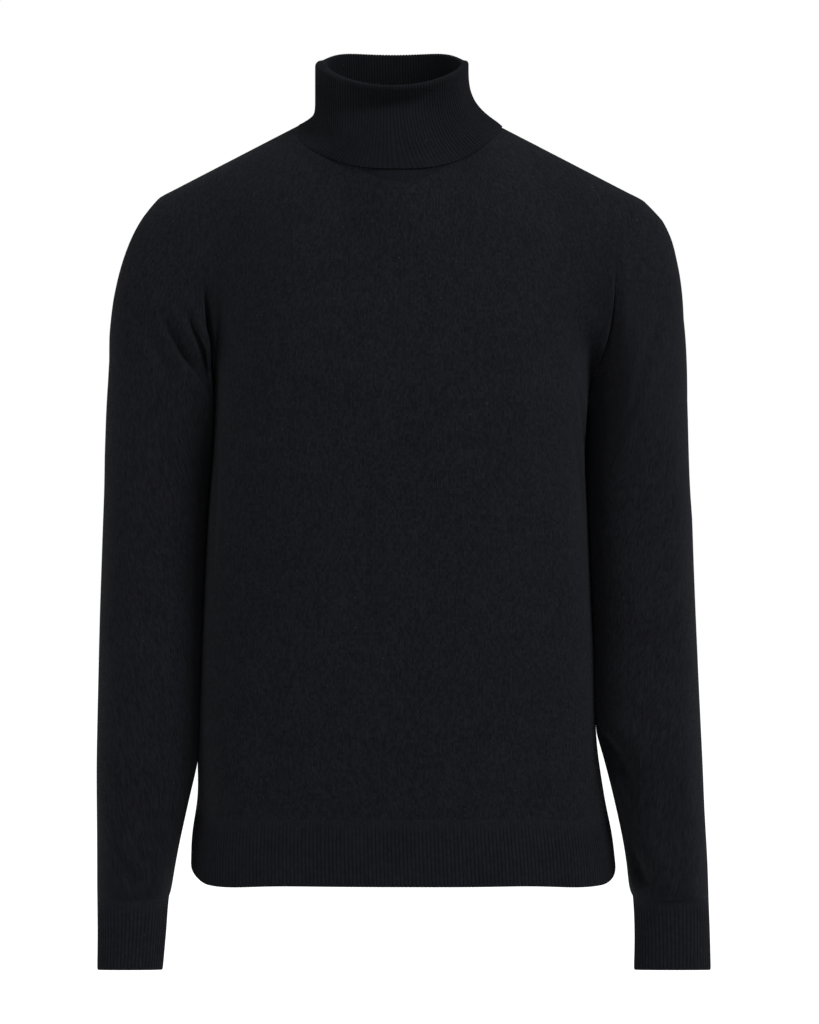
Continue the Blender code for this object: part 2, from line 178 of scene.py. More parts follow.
def blurred(line, reach):
    """A line smoothed over so many of its points on each side, with its ends kept."""
    if reach < 0.5:
        return line
    span = int(3 * reach)
    weight = np.exp(-((np.arange(-span, span + 1) / reach) ** 2) / 2)
    weight = weight / weight.sum()
    ends = [2 * line[:1] - line[span:0:-1], line, 2 * line[-1:] - line[-2 : -span - 2 : -1]]
    padded = np.concatenate(ends)
    return np.stack([np.convolve(column, weight, mode="valid") for column in padded.T], axis=1)


def lengths(line):
    """Distance along a line of points, from its first point."""
    return np.concatenate([[0], np.cumsum(np.linalg.norm(np.diff(line, axis=0), axis=1))])


def divide(line, count):
    """A line divided into so many equal lengths."""
    run = lengths(line)
    at = np.linspace(0, run[-1], count + 1)
    return np.stack([np.interp(at, run, line[:, k]) for k in range(3)], axis=1)


def oval(turn, square):
    """Sine and cosine of a turn, squared off as on a superellipse."""
    sine, cosine = np.sin(turn), np.cos(turn)
    power = 2 / square
    return np.sign(sine) * abs(sine) ** power, np.sign(cosine) * abs(cosine) ** power


def waves(table, turn, height):
    total = 0
    for wave in table:
        near = math.exp(-(((height - wave.height) / wave.reach) ** 2))
        total = total + wave.depth * near * np.cos(wave.count * turn + wave.start + wave.lean * height)
    return total


def hem_drop(across):
    """How far the hem hangs below a level line: most near the sides, but the side seams draw it up again."""
    across = abs(across)
    corner = 1 - np.sqrt(1 - np.clip((across - 0.915) / 0.085, 0, 1) ** 2)
    return HEM_DROP + SIDE_DROP * np.exp(-(((across - 0.86) / 0.20) ** 2)) - SEAM_DRAW * corner


def body_section(height, face, columns):
    """The front or back of a level section, from the right side seam to the left one."""
    turn = np.linspace(-math.pi / 2, math.pi / 2, FINE)
    across, ahead = oval(turn, between(BODY, "square", height))
    reach = between(BODY, "front" if face < 0 else "back", height)
    swell = waves(BODY_WAVES, turn if face < 0 else math.pi - turn, height) * smooth((-0.25 - height) / 0.1)
    line = np.zeros((FINE, 3))
    line[:, 0] = (between(BODY, "half_width", height) + swell) * across + between(BODY, "sway", height)
    line[:, 1] = UNDERARM_POINT[1] + (face * (reach + swell) - UNDERARM_POINT[1]) * ahead
    line[:, 2] = height - hem_drop(across) * smooth((-0.50 - height) / 0.10)
    return divide(line, columns)


def neck_seam(turn):
    ahead = np.cos(turn)[:, None]
    middle = np.where(ahead > 0, NECK_FRONT, NECK_BACK)
    line = NECK_POINT + (middle - NECK_POINT) * abs(ahead) ** np.array([1.0, 1.0, 1.3])
    line[:, 0] = NECK_POINT[0] * np.sin(turn)
    return line


def top_edge(face):
    """The neckline and shoulder seams of the front or back, from the right shoulder point to the left one."""
    middle = 0 if face < 0 else math.pi
    neck = divide(neck_seam(np.linspace(middle, math.pi / 2, FINE)), NECK_COLUMNS // 2)
    shoulder = divide(np.array([NECK_POINT, SHOULDER_POINT]), (COLUMNS - NECK_COLUMNS) // 2)
    half = np.concatenate([neck, shoulder[1:]])
    return np.concatenate([half[:0:-1] * [-1, 1, 1], half])


def armhole(face, side, t):
    """A point on the edge of an armhole, from the underarm at 0 to the shoulder at 1."""
    rise = (1 - math.cos(math.pi * t)) / 2
    out = rise ** ARMHOLE_CURVE[side]
    out += ARMHOLE_SWING[side] * math.sin(2 * math.pi * out)
    point = UNDERARM_POINT + (SHOULDER_POINT - UNDERARM_POINT) * np.array([out, rise, rise])
    point[1] += face * (ARMHOLE_FRONT if face < 0 else ARMHOLE_BACK) * math.sin(math.pi * t)
    return point


def upper_body(face):
    """Rows from the underarm to the shoulder, rounding over towards the shoulder seams. The neckline's
    corners fade away below the collar."""
    low, neckline = body_section(UNDERARM_POINT[2], face, COLUMNS), top_edge(face)
    place = np.linspace(-1, 1, COLUMNS + 1)
    over = smooth(np.clip(abs(place) * COLUMNS / NECK_COLUMNS, 0.35 if face > 0 else 0.0, 1))
    over = over * (SHOULDER_ROUND + (1 - SHOULDER_ROUND) * abs(place))
    rows = []
    for t in np.linspace(0, 1, HIGH_ROWS + 1):
        high = blurred(neckline, NECK_FADE * (1 - t) ** 0.8)
        rise = (1 - over) * t + over * math.sin(t * math.pi / 2)
        keep = (1 - over) * (1 - t**CHEST_FULL) + over * math.cos(t * math.pi / 2)
        row = np.empty_like(low)
        row[:, 0] = low[:, 0] + (high[:, 0] - low[:, 0]) * t
        row[:, 1] = high[:, 1] + (low[:, 1] - high[:, 1]) * keep
        row[:, 2] = low[:, 2] + (high[:, 2] - low[:, 2]) * rise
        wide = smooth(t / 0.35)
        pull = (wide * place**4 + (1 - wide) * place**14)[:, None]
        right = np.where(place[:, None] < 0, pull, 0) * (armhole(face, -1, t) * [-1, 1, 1] - row[0])
        left = np.where(place[:, None] > 0, pull, 0) * (armhole(face, 1, t) - row[-1])
        rows.append(row + right + left)
    return np.array(rows)


def grid_normals(rows, ring):
    """Outward normals of a grid whose columns and rows turn anticlockwise as seen from outside."""
    if ring:
        padded = np.concatenate([rows[:, -1:], rows, rows[:, :1]], axis=1)
        across = (padded[:, 2:] - padded[:, :-2]) / 2
    else:
        across = np.gradient(rows, axis=1)
    return unit(np.cross(across, np.gradient(rows, axis=0)))


def cloth_map(rows, ring, middle):
    """Place of each point in the flat cloth: across from the column called middle, and along the columns.
    A ring has one column more, which closes it."""
    closed = np.concatenate([rows, rows[:, :1]], axis=1) if ring else rows
    steps = np.linalg.norm(np.diff(closed, axis=1), axis=2)
    across = np.concatenate([np.zeros((len(rows), 1)), np.cumsum(steps, axis=1)], axis=1)
    across -= across[:, middle : middle + 1]
    steps = np.linalg.norm(np.diff(closed, axis=0), axis=2)
    along = np.concatenate([np.zeros((1, closed.shape[1])), np.cumsum(steps, axis=0)], axis=0)
    return np.stack([across, along], axis=2)


def folded(rows, flat, ring, folds):
    """The rows with folds pressed in, each a trough between two low shoulders that fades at its ends."""
    normals = grid_normals(rows, ring)
    place = flat[:, : rows.shape[1]]
    sink = np.zeros_like(rows)
    for fold in folds:
        seen = normals[:, :, 1] * fold.face > 0
        stops = []
        for x, z in fold.points:
            far = (rows[:, :, 0] - x) ** 2 + (rows[:, :, 2] - z) ** 2 + np.where(seen, 0, 1)
            stops.append(place[np.unravel_index(np.argmin(far), far.shape)])
        t = np.linspace(0, len(stops) - 1, 33)
        line = np.stack([np.interp(t, range(len(stops)), along) for along in np.array(stops).T], axis=1)
        line = blurred(line, 3)
        gap = np.linalg.norm(place[:, :, None] - line, axis=3)
        near = gap.argmin(axis=2)
        off = gap.min(axis=2) / fold.width
        fade = np.sin(math.pi * np.clip(near / 32, 0.02, 0.98)) ** 0.7
        depth = fold.depth * fade * (np.exp(-(off**2)) - 0.35 * np.exp(-((off - 2.0) ** 2)))
        sink += depth[:, :, None] * unit(np.array([-fold.slide, 0, 0]) - normals)
    edge = np.minimum(np.arange(rows.shape[0]), np.arange(rows.shape[0])[::-1])[:, None] / 8
    if not ring:
        side_edge = np.minimum(np.arange(rows.shape[1]), np.arange(rows.shape[1])[::-1])[None] / 6
        edge = np.minimum(edge, side_edge)
    return rows + sink * smooth(edge)[:, :, None]


def armhole_crease(height, face, side, off):
    """How far the cloth sinks beside the lower armhole, where the seam lies in the crease under the arm. Off
    is the distance from the seam, in half widths of the crease."""
    along = np.clip((height - UNDERARM_POINT[2]) / (CREASE_TOP[side] - UNDERARM_POINT[2]), 0, 1) ** 0.62
    depth = np.where(face < 0, CREASE_FRONT[side], CREASE_BACK) * np.sin(math.pi * along)
    return depth * (np.exp(-(off**2)) - 0.15 * np.exp(-((off - 2.2) ** 2)))


def crease_way(face, side):
    """Direction in which an armhole's crease sinks."""
    lean = CREASE_LEAN[side]
    return np.stack([lean + 0 * face, -math.sqrt(1 - lean**2) * face, 0 * face], axis=-1)


def creased(rows, flat, face):
    """A front or back with the creases beside both armholes pressed in."""
    rows = rows.copy()
    for column in (0, -1):
        edge = rows[:, column].copy()
        side = int(np.sign(edge[-1, 0]))
        off = abs(flat[:, :, 0] - flat[:, column, 0][:, None]) / BODY_CREASE[side]
        sink = armhole_crease(edge[:, 2:], face, side, off)
        rows += sink[:, :, None] * crease_way(np.float64(face), side)
    return rows


def worn(rows):
    """The rows as they hang on the wearer, whose right shoulder is a little higher."""
    x, z = rows[:, :, 0], rows[:, :, 2]
    raised = smooth((-x - 0.03) / 0.05) * smooth((z + 0.20) / 0.12) * (1 - smooth((z - 0.006) / 0.03))
    rows = rows.copy()
    rows[:, :, 2] += RIGHT_RAISE * raised
    for side, heads in SLEEVE_HEADS.items():
        heights, shifts = np.array(sorted(heads)).T
        out = np.interp(z, heights, shifts) * smooth((side * x - 0.19) / 0.05)
        rows[:, :, 0] += side * out
    return rows


def make_cloth(name, rows, flat, ring, lift, thickness, gaps):
    """A closed wall of cloth. Its outer face is lift above the rows, its inner face thickness below them.
    Its first and last rows keep back from what is joined there by the two gaps."""
    count, width = rows.shape[:2]
    rows = worn(rows)
    normals = grid_normals(rows, ring)
    rows[0] += unit(rows[1] - rows[0]) * gaps[0]
    rows[-1] += unit(rows[-2] - rows[-1]) * gaps[1]
    if not ring:
        rows[:, 0] += unit(rows[:, 1] - rows[:, 0]) * SEAM_GAP
        rows[:, -1] += unit(rows[:, -2] - rows[:, -1]) * SEAM_GAP
    outer = rows + normals * np.broadcast_to(lift, (count, width))[:, :, None]
    inner = rows - normals * np.broadcast_to(thickness, (count, width))[:, :, None]
    points = np.concatenate([outer.reshape(-1, 3), inner.reshape(-1, 3)])

    half = count * width
    r, c = np.meshgrid(np.arange(count - 1), np.arange(width if ring else width - 1), indexing="ij")
    r, c = r.ravel(), c.ravel()
    d = (c + 1) % width
    outside = np.stack([r * width + c, r * width + d, (r + 1) * width + d, (r + 1) * width + c], axis=1)
    place = np.stack([flat[r, c], flat[r, c + 1], flat[r + 1, c + 1], flat[r + 1, c]], axis=1)
    first, last = list(range(width)), list(range((count - 1) * width, half))
    if ring:
        rims = [first + first[:1], (last + last[:1])[::-1]]
    else:
        up_left, up_right = list(range(0, half, width)), list(range(width - 1, half, width))
        rims = [first + up_right[1:] + last[-2::-1] + up_left[-2::-1]]
    rim = np.array([(b, a, half + a, half + b) for line in rims for a, b in zip(line, line[1:])])
    flat_points = flat[:, :width].reshape(-1, 2)
    faces = np.concatenate([outside, outside[:, ::-1] + half, rim])
    places = np.concatenate([place, place[:, ::-1], flat_points[rim % half]])

    mesh = bpy.data.meshes.new(name)
    mesh.from_pydata(points.tolist(), [], faces.tolist())
    mesh.uv_layers.new(name="knit").data.foreach_set("uv", places.ravel())
    mesh.shade_smooth()
    mesh.set_sharp_from_angle(angle=math.radians(60))
    piece = bpy.data.objects.new(name, mesh)
    bpy.context.scene.collection.objects.link(piece)
    return piece


def seam_lift(rows, ring, last):
    """Linked edges sink a little into the cloth: the sides and one end, the last row or the first."""
    lift = np.zeros(rows.shape[:2])
    lift[-1 if last else 0] = -SEAM_DIP
    if not ring:
        lift[:, 0] = lift[:, -1] = -SEAM_DIP
    return lift


def body_panel(face, folds):
    """Rows from the top of the rib to the shoulders, and their places in the flat cloth."""
    heights = np.linspace(RIB_TOP, UNDERARM_POINT[2], LOW_ROWS + 1)[:-1]
    rows = np.concatenate([[body_section(height, face, COLUMNS) for height in heights], upper_body(face)])
    if face > 0:
        rows = rows[:, ::-1]
    flat = cloth_map(rows, False, COLUMNS // 2)
    return creased(folded(rows, flat, False, folds), flat, face), flat


front_rows, front_flat = body_panel(-1, FRONT_FOLDS)
back_rows, back_flat = body_panel(1, BACK_FOLDS)


# Node groups of the knit, which the jersey and the rib both use.
WOOL_DARK = (0.0047, 0.0049, 0.0065)
YARN_RELIEF = 0.0003
GROOVE_FADE = 0.016  # how far from the start of a rib the painted shade in its grooves takes to darken in full


def add_node(tree, kind, **values):
    node = tree.nodes.new(kind)
    for key, value in values.items():
        setattr(node, key, value)
    return node


def calculate(tree, operation, *inputs):
    """A sum on sockets and numbers, as a socket."""
    node = add_node(tree, "ShaderNodeMath", operation=operation)
    for socket, value in zip(node.inputs, inputs):
        if isinstance(value, (int, float)):
            socket.default_value = value
        else:
            tree.links.new(value, socket)
    return node.outputs[0]


def new_group(name, inputs, outputs):
    tree = bpy.data.node_groups.new(name, "ShaderNodeTree")
    for label, kind in inputs:
        tree.interface.new_socket(name=label, in_out="INPUT", socket_type=kind)
    for label in outputs:
        tree.interface.new_socket(name=label, in_out="OUTPUT", socket_type="NodeSocketFloat")
    return tree, tree.nodes.new("NodeGroupInput"), tree.nodes.new("NodeGroupOutput")


def stitches_group():
    """Columns of V stitches. Height is the yarn's relief, Groove the painted shade that darkens the grooves
    between columns, and Uneven the drift of the yarn's tension, which lightens and darkens single columns for
    a short way."""
    inputs = (("Place", "NodeSocketVector"), ("Wale", "NodeSocketFloat"), ("Course", "NodeSocketFloat"))
    tree, entry, result = new_group("knit stitches", inputs, ("Height", "Groove", "Uneven"))
    split = add_node(tree, "ShaderNodeSeparateXYZ")
    tree.links.new(entry.outputs["Place"], split.inputs[0])
    wale = calculate(tree, "DIVIDE", split.outputs["X"], entry.outputs["Wale"])
    course = calculate(tree, "DIVIDE", split.outputs["Y"], entry.outputs["Course"])
    side = calculate(tree, "ABSOLUTE", calculate(tree, "SUBTRACT", calculate(tree, "FRACT", wale), 0.5))
    arm = calculate(tree, "MULTIPLY", side, 2.0)
    slanted = calculate(tree, "ADD", course, calculate(tree, "MULTIPLY", arm, 0.55))
    turn = calculate(tree, "MULTIPLY", slanted, 2 * math.pi)
    yarn = calculate(tree, "ADD", calculate(tree, "MULTIPLY", calculate(tree, "COSINE", turn), 0.5), 0.5)
    body = calculate(tree, "SUBTRACT", 1.0, calculate(tree, "POWER", arm, 3.0))
    middle = calculate(tree, "POWER", calculate(tree, "SUBTRACT", 1.0, arm), 6.0)
    split_v = calculate(tree, "SUBTRACT", 1.0, middle)
    relief = calculate(tree, "MULTIPLY", body, calculate(tree, "MULTIPLY_ADD", yarn, 0.45, 0.55))
    height = calculate(tree, "MULTIPLY", relief, calculate(tree, "MULTIPLY_ADD", split_v, 0.35, 0.65))
    tree.links.new(height, result.inputs["Height"])
    tree.links.new(calculate(tree, "POWER", arm, 4.0), result.inputs["Groove"])

    column = calculate(tree, "FLOOR", wale)
    single = add_node(tree, "ShaderNodeCombineXYZ")
    tree.links.new(column, single.inputs[0])
    tree.links.new(calculate(tree, "FLOOR", calculate(tree, "MULTIPLY", course, 0.5)), single.inputs[1])
    speckle = add_node(tree, "ShaderNodeTexWhiteNoise")
    tree.links.new(single.outputs[0], speckle.inputs["Vector"])
    drift = add_node(tree, "ShaderNodeCombineXYZ")
    tree.links.new(calculate(tree, "MULTIPLY", column, 7.31), drift.inputs[0])
    tree.links.new(calculate(tree, "MULTIPLY", course, 0.12), drift.inputs[1])
    noise = add_node(tree, "ShaderNodeTexNoise")
    noise.inputs["Scale"].default_value = 1.0
    noise.inputs["Detail"].default_value = 3.0
    tree.links.new(drift.outputs[0], noise.inputs["Vector"])
    slow = calculate(tree, "MULTIPLY", noise.outputs[0], 0.65)
    mixed = calculate(tree, "MULTIPLY_ADD", speckle.outputs["Value"], 0.35, slow)
    tree.links.new(mixed, result.inputs["Uneven"])
    return tree


def wool_group():
    """Haze of loose fibres: Haze mottles the surface, and Lint is a scatter of tiny pale specks."""
    tree, entry, result = new_group("wool haze", (("Place", "NodeSocketVector"),), ("Haze", "Lint"))
    fine = add_node(tree, "ShaderNodeTexNoise")
    fine.inputs["Scale"].default_value = 620.0
    fine.inputs["Detail"].default_value = 2.0
    broad = add_node(tree, "ShaderNodeTexNoise")
    broad.inputs["Scale"].default_value = 24.0
    broad.inputs["Detail"].default_value = 4.0
    cells = add_node(tree, "ShaderNodeTexVoronoi")
    cells.inputs["Scale"].default_value = 80.0
    for node in (fine, broad, cells):
        tree.links.new(entry.outputs["Place"], node.inputs["Vector"])
    patches = calculate(tree, "MULTIPLY", broad.outputs[0], 0.4)
    haze = calculate(tree, "MULTIPLY_ADD", fine.outputs[0], 0.6, patches)
    tree.links.new(haze, result.inputs["Haze"])
    split = add_node(tree, "ShaderNodeSeparateColor")
    tree.links.new(cells.outputs["Color"], split.inputs[0])
    close = calculate(tree, "LESS_THAN", cells.outputs["Distance"], 0.045)
    some = calculate(tree, "GREATER_THAN", split.outputs[0], 0.70)
    tree.links.new(calculate(tree, "MULTIPLY", close, some), result.inputs["Lint"])
    return tree


stitches = stitches_group()
wool = wool_group()


def knit_material(name, wale, course, dark, light, groove_shade, uneven, begin=None):
    """Black wool knit: soft diffuse cloth with a faint sheen of fibres, and no gloss. Uneven is how much
    columns drift in tone. The grooves between columns get painted shade in the colour; where a rib begins, at
    this distance along them, that painted shade fades in."""
    material = bpy.data.materials.new(name)
    material.use_nodes = True
    tree = material.node_tree
    shader = tree.nodes["Principled BSDF"]
    shader.inputs["Roughness"].default_value = 0.92
    shader.inputs["Specular IOR Level"].default_value = 0.04
    shader.inputs["Sheen Weight"].default_value = 0.034
    shader.inputs["Sheen Roughness"].default_value = 0.45
    shader.inputs["Sheen Tint"].default_value = (0.86, 0.90, 1.0, 1.0)

    place = add_node(tree, "ShaderNodeUVMap", uv_map="knit")
    knit = add_node(tree, "ShaderNodeGroup", node_tree=stitches)
    knit.inputs["Wale"].default_value = wale
    knit.inputs["Course"].default_value = course
    tree.links.new(place.outputs[0], knit.inputs["Place"])
    spot = add_node(tree, "ShaderNodeTexCoord")
    fibres = add_node(tree, "ShaderNodeGroup", node_tree=wool)
    tree.links.new(spot.outputs["Object"], fibres.inputs["Place"])

    tone = calculate(tree, "MULTIPLY_ADD", knit.outputs["Uneven"], uneven, (1 - uneven) / 2)
    tone = calculate(tree, "SUBTRACT", tone, 0.35)
    tone = calculate(tree, "MULTIPLY_ADD", fibres.outputs["Haze"], 0.7, tone)
    # painted shade: the grooves between columns are darkened in the colour
    groove = calculate(tree, "MULTIPLY", knit.outputs["Groove"], groove_shade)
    if begin:
        split = add_node(tree, "ShaderNodeSeparateXYZ")
        tree.links.new(place.outputs[0], split.inputs[0])
        below = calculate(tree, "SUBTRACT", begin, split.outputs["Y"])
        fade = calculate(tree, "MULTIPLY", below, 1 / GROOVE_FADE)
        fade = calculate(tree, "MINIMUM", calculate(tree, "MAXIMUM", fade, 0.0), 1.0)
        groove = calculate(tree, "MULTIPLY", groove, fade)
    tone = calculate(tree, "SUBTRACT", tone, groove)
    shade = add_node(tree, "ShaderNodeMix", data_type="RGBA")
    shade.inputs[6].default_value = (*dark, 1.0)
    shade.inputs[7].default_value = (*light, 1.0)
    tree.links.new(tone, shade.inputs[0])
    lint = add_node(tree, "ShaderNodeMix", data_type="RGBA")
    lint.inputs[7].default_value = (0.030, 0.031, 0.036, 1.0)
    tree.links.new(fibres.outputs["Lint"], lint.inputs[0])
    tree.links.new(shade.outputs[2], lint.inputs[6])
    tree.links.new(lint.outputs[2], shader.inputs["Base Color"])

    bump = add_node(tree, "ShaderNodeBump")
    bump.inputs["Distance"].default_value = YARN_RELIEF
    bump.inputs["Strength"].default_value = 0.8
    rough = calculate(tree, "MULTIPLY_ADD", fibres.outputs["Haze"], 0.5, knit.outputs["Height"])
    tree.links.new(rough, bump.inputs["Height"])
    tree.links.new(bump.outputs[0], shader.inputs["Normal"])
    return material


jersey = knit_material("black_jersey", wale=0.00175, course=0.0013, dark=WOOL_DARK,
                       light=(0.0133, 0.0139, 0.0178), groove_shade=0.45, uneven=1.3)


def finish_piece(piece, node, material):
    piece.data.materials.append(material)
    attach(piece, "root")
    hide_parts(node)


for name, node, rows, flat, size, area in (
    ("front", "front_panel", front_rows, front_flat, (0.52, 0.66), 0.285),
    ("back", "back_panel", back_rows, back_flat, (0.50, 0.67), 0.270),
):
    lift = seam_lift(rows, False, True)
    panel = make_cloth(name, rows, flat, False, lift, JERSEY, (KNIT_GAP, SEAM_GAP))
    finish_piece(panel, node, jersey)

# ---------------------------------------------------------------- hem
# The hem is a band of one-by-one rib below each panel, knitted in one with it. Its ribs stand out as round
# cords with narrow grooves between them, and its free edge is a neat doubled cast-on.

RIB = 0.0022  # thickness of the rib
RIB_RISE = 0.0006  # from the groove to the top of a rib
RIB_POINTS = 6  # points across one rib
HEM_RIBS = 150  # across the front, and across the back
HEM_PITCH = 0.0034
RIB_START = 0.0120  # how far below its start a rib stands out in full
BAND_STEP = 0.0040  # between rows
CAST_ON = 0.0030  # height of the rounded free edge
CAST_ON_ROUND = 0.0007  # how far it rounds inwards


def rib_lift(ribs, closed):
    """Height of the ribs over their grooves, column by column."""
    at = (np.arange(ribs * RIB_POINTS + (0 if closed else 1)) / RIB_POINTS) % 1
    return -RIB_RISE * abs(2 * at - 1) ** 2.5


def rib_rise(heights, top):
    """The grooves deepen from nothing where the rib begins."""
    return smooth((top - heights) / RIB_START)[:, None]


def band_heights(top, low):
    count = round((top - low) / BAND_STEP)
    even = np.linspace(low + CAST_ON, top, count)
    return np.concatenate([low + CAST_ON * np.array([0, 0.12, 0.4]), even])


def cast_on_lift(heights, low):
    """The free edge rounds inwards over its last few millimetres."""
    up = np.clip((heights - low) / CAST_ON, 0, 1)
    return -CAST_ON_ROUND * (1 - np.sqrt(1 - (1 - up) ** 2))


def band_lift(ribs, closed, heights, top, low):
    """Height of a band's outer face over its rows, with its ribs and its rounded free edge."""
    ribbed = rib_lift(ribs, closed)[None] * rib_rise(heights, top)
    return ribbed + cast_on_lift(heights, low)[:, None]


def rib_map(rows, ribs, pitch):
    """Place in the flat rib: whole ribs across, so that the stitches sit on them."""
    closed = rows if rows.shape[1] % RIB_POINTS == 1 else np.concatenate([rows, rows[:, :1]], axis=1)
    flat = cloth_map(closed, False, 0)
    flat[:, :, 0] = np.arange(ribs * RIB_POINTS + 1) / RIB_POINTS * pitch
    return flat


rib = knit_material("black_rib", wale=HEM_PITCH, course=0.0015, dark=WOOL_DARK,
                    light=(0.0139, 0.0145, 0.0186), groove_shade=0.42, uneven=0.6, begin=RIB_TOP - HEM)
hem_heights = band_heights(RIB_TOP, HEM)
for name, node, face in (("front_hem", "front_hem_rib", -1), ("back_hem", "back_hem_rib", 1)):
    rows = np.array([body_section(height, face, HEM_RIBS * RIB_POINTS) for height in hem_heights])
    if face > 0:
        rows = rows[:, ::-1]
    lift = band_lift(HEM_RIBS, False, hem_heights, RIB_TOP, HEM)
    band = make_cloth(name, rows, rib_map(rows, HEM_RIBS, HEM_PITCH), False, lift, RIB, (0, KNIT_GAP))
    finish_piece(band, node, rib)

# ---------------------------------------------------------------- sleeves
# Each sleeve is one piece of jersey, closed by a seam under the arm and set into the armhole with a shaped
# cap. It hangs close to the body, creases under the arm and blouses over its cuff.

CAP_END = -0.3300  # height of the highest level ring
CUFF_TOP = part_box("left_cuff")[1][2]
CUFF_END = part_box("left_cuff")[0][2] - 0.0022
CAP_DROOP = 0.50  # how steeply the cap leaves the armhole downwards, and how little front to back
CAP_BACK = 0.30
CAP_PULL = 0.95  # how far it holds that direction
CAP_ROWS = 56
ARM_ROWS = 136
BODY_CLEAR = 0.0006  # between the sleeve and the side of the body

Ring = namedtuple("Ring", "height outer inner middle depth square")
RIGHT_SLEEVE = (
    Ring(-0.3300, 0.2672, 0.1710, 0.0020, 0.0600, 2.3),
    Ring(-0.4500, 0.2710, 0.1760, -0.0060, 0.0570, 2.3),
    Ring(-0.5200, 0.2720, 0.1788, -0.0140, 0.0535, 2.2),
    Ring(-0.5600, 0.2722, 0.1818, -0.0180, 0.0510, 2.2),
    Ring(-0.6000, 0.2718, 0.1905, -0.0220, 0.0475, 2.2),
    Ring(-0.6400, 0.2712, 0.1992, -0.0260, 0.0430, 2.2),
    Ring(-0.6820, 0.2706, 0.2068, -0.0290, 0.0365, 2.2),
    Ring(-0.7150, 0.2702, 0.2094, -0.0310, 0.0325, 2.2),
    Ring(-0.7450, 0.2704, 0.2120, -0.0325, 0.0310, 2.2),
)
LEFT_SLEEVE = (
    Ring(-0.3300, 0.2612, 0.1660, 0.0020, 0.0600, 2.3),
    Ring(-0.4500, 0.2655, 0.1706, -0.0060, 0.0570, 2.3),
    Ring(-0.5400, 0.2690, 0.1762, -0.0160, 0.0525, 2.2),
    Ring(-0.5600, 0.2698, 0.1818, -0.0180, 0.0510, 2.2),
    Ring(-0.6000, 0.2712, 0.1918, -0.0220, 0.0475, 2.2),
    Ring(-0.6400, 0.2730, 0.2002, -0.0260, 0.0430, 2.2),
    Ring(-0.6820, 0.2742, 0.2068, -0.0290, 0.0365, 2.2),
    Ring(-0.7150, 0.2753, 0.2082, -0.0310, 0.0325, 2.2),
    Ring(-0.7450, 0.2760, 0.2076, -0.0325, 0.0310, 2.2),
)
SLEEVE_WAVES = (
    Wave(2, 0.6, 9.0, 0.0012, -0.440, 0.090),
    Wave(3, 2.0, -14.0, 0.0010, -0.520, 0.080),
    Wave(3, 4.1, 22.0, 0.0009, -0.620, 0.050),
)
RIGHT_FOLDS = (
    Fold(-1, 0.0085, 0.0054, ((-0.2130, -0.166), (-0.1960, -0.188), (-0.1820, -0.208), (-0.1710, -0.228)),
         slide=0.5),
    Fold(-1, 0.0070, 0.0046, ((-0.1890, -0.166), (-0.1800, -0.186), (-0.1720, -0.208))),
    Fold(-1, 0.0060, 0.0070, ((-0.1800, -0.190), (-0.1730, -0.206), (-0.1680, -0.224))),
    Fold(-1, 0.0024, 0.0100, ((-0.2360, -0.150), (-0.2180, -0.190), (-0.1960, -0.236))),
    Fold(-1, 0.0022, 0.0110, ((-0.2520, -0.405), (-0.2250, -0.428), (-0.1950, -0.452))),
    Fold(-1, 0.0018, 0.0090, ((-0.2620, -0.450), (-0.2380, -0.440), (-0.2050, -0.462))),
    Fold(-1, 0.0028, 0.0070, ((-0.2050, -0.585), (-0.2190, -0.612), (-0.2330, -0.642))),
    Fold(-1, 0.0036, 0.0052, ((-0.2490, -0.655), (-0.2360, -0.664), (-0.2210, -0.675))),
    Fold(1, 0.0046, 0.0070, ((-0.2180, -0.180), (-0.2000, -0.220), (-0.1820, -0.252))),
    Fold(1, 0.0032, 0.0090, ((-0.2560, -0.395), (-0.2290, -0.418), (-0.2000, -0.425))),
    Fold(1, 0.0030, 0.0090, ((-0.2580, -0.440), (-0.2300, -0.452), (-0.1980, -0.475))),
    Fold(1, 0.0028, 0.0070, ((-0.2480, -0.628), (-0.2330, -0.648), (-0.2150, -0.658))),
)
LEFT_FOLDS = (
    Fold(-1, 0.0022, 0.0110, ((0.2380, -0.160), (0.2220, -0.200), (0.2000, -0.250))),
    Fold(-1, 0.0022, 0.0110, ((0.2440, -0.330), (0.2200, -0.362), (0.1960, -0.382))),
    Fold(-1, 0.0026, 0.0100, ((0.2500, -0.430), (0.2240, -0.446), (0.1920, -0.472))),
    Fold(-1, 0.0098, 0.0043, ((0.1780, -0.538), (0.1900, -0.554), (0.2000, -0.568), (0.2080, -0.594)),
         slide=0.6),
    Fold(-1, 0.0092, 0.0043, ((0.2030, -0.638), (0.2100, -0.657), (0.2190, -0.673), (0.2310, -0.688)),
         slide=0.6),
    Fold(-1, -0.0035, 0.0100, ((0.2260, -0.660), (0.2430, -0.662), (0.2640, -0.662))),
    Fold(-1, 0.0022, 0.0080, ((0.2280, -0.596), (0.2370, -0.622), (0.2480, -0.646))),
    Fold(1, 0.0044, 0.0070, ((0.2160, -0.175), (0.2010, -0.215), (0.1860, -0.248))),
    Fold(1, 0.0032, 0.0090, ((0.2540, -0.380), (0.2280, -0.404), (0.1980, -0.415))),
    Fold(1, 0.0030, 0.0090, ((0.2560, -0.425), (0.2320, -0.446), (0.2050, -0.466))),
    Fold(1, 0.0028, 0.0070, ((0.2520, -0.638), (0.2360, -0.656), (0.2200, -0.668))),
)
BLOUSE = {1: 0.0054, -1: 0.0028}  # how far each sleeve swells just above its cuff


